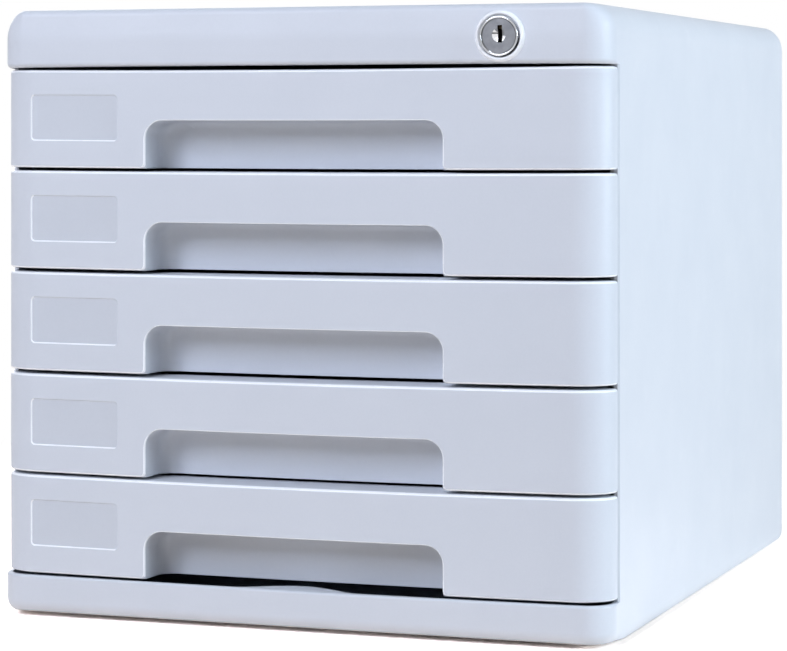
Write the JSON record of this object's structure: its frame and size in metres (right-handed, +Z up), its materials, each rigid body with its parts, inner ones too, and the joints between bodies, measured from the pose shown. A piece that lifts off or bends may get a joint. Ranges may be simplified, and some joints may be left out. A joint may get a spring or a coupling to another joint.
{
  "type": "desktop file drawer cabinet",
  "caption": "Lockable desktop cabinet with a stack of shallow full-width paper drawers, finger pockets, label recesses and a cam lock.",
  "frame": {"origin": "centre of the footprint, on the surface the cabinet stands on", "axes": "+X to the right seen from the front, +Y to the rear along the depth, +Z up"},
  "size_m": [0.3, 0.3714, 0.2864],
  "materials": {
    "white_plastic": "satin moulded, cool white",
    "tray_plastic": "fine matt moulded, light grey",
    "inner_plastic": "fine matt moulded, light grey",
    "soft_rubber": "matt",
    "chrome": "bright plated",
    "satin_steel": "turned, fine concentric brushing",
    "zinc_steel": "zinc plated",
    "brass": "stamped"
  },
  "bodies": {
    "casing": {"housing_shell": "white_plastic", "base_plate": "inner_plastic", "back_panel": "inner_plastic", "left_runner_panel": "inner_plastic", "right_runner_panel": "inner_plastic", "lock_barrel": "chrome", "lock_nut": "zinc_steel", "foot_front_left": "soft_rubber", "foot_front_right": "soft_rubber", "foot_rear_left": "soft_rubber", "foot_rear_right": "soft_rubber", "base_screw_front_left": "zinc_steel", "base_screw_front_right": "zinc_steel", "base_screw_rear_left": "zinc_steel", "base_screw_rear_right": "zinc_steel", "back_screw_lower_left": "zinc_steel", "back_screw_lower_right": "zinc_steel", "back_screw_upper_left": "zinc_steel", "back_screw_upper_right": "zinc_steel"},
    "drawer_1": {"drawer_1_front": "white_plastic", "drawer_1_tray": "tray_plastic"},
    "drawer_2": {"drawer_2_front": "white_plastic", "drawer_2_tray": "tray_plastic"},
    "drawer_3": {"drawer_3_front": "white_plastic", "drawer_3_tray": "tray_plastic"},
    "drawer_4": {"drawer_4_front": "white_plastic", "drawer_4_tray": "tray_plastic"},
    "drawer_5": {"drawer_5_front": "white_plastic", "drawer_5_tray": "tray_plastic"},
    "lock_core": {"lock_plug": "satin_steel", "lock_cam": "zinc_steel", "cam_screw": "zinc_steel", "lock_wafer_1": "brass", "lock_wafer_2": "brass", "lock_wafer_3": "brass", "lock_wafer_4": "brass", "lock_wafer_5": "brass"},
    "locking_bar": {"lock_bar": "zinc_steel"}
  },
  "joints": [
    {"name": "drawer_1_slide", "type": "slide", "parent": "casing", "child": "drawer_1", "axis": [0, -1, 0], "range_m": [0, 0.25]},
    {"name": "drawer_2_slide", "type": "slide", "parent": "casing", "child": "drawer_2", "axis": [0, -1, 0], "range_m": [0, 0.25]},
    {"name": "drawer_3_slide", "type": "slide", "parent": "casing", "child": "drawer_3", "axis": [0, -1, 0], "range_m": [0, 0.25]},
    {"name": "drawer_4_slide", "type": "slide", "parent": "casing", "child": "drawer_4", "axis": [0, -1, 0], "range_m": [0, 0.25]},
    {"name": "drawer_5_slide", "type": "slide", "parent": "casing", "child": "drawer_5", "axis": [0, -1, 0], "range_m": [0, 0.25]},
    {"name": "lock_turn", "type": "hinge", "parent": "casing", "child": "lock_core", "pos_m": [0.0995, -0.1833, 0.27195], "axis": [0, 1, 0], "range_deg": [0, 90]},
    {"name": "locking_bar_slide", "type": "slide", "parent": "casing", "child": "locking_bar", "axis": [0, 0, -1], "range_m": [0, 0.00989]}
  ],
  "couplings": [
    {"joint": "lock_turn", "follows": "locking_bar_slide", "rad_per_m": 158.7}
  ]
}
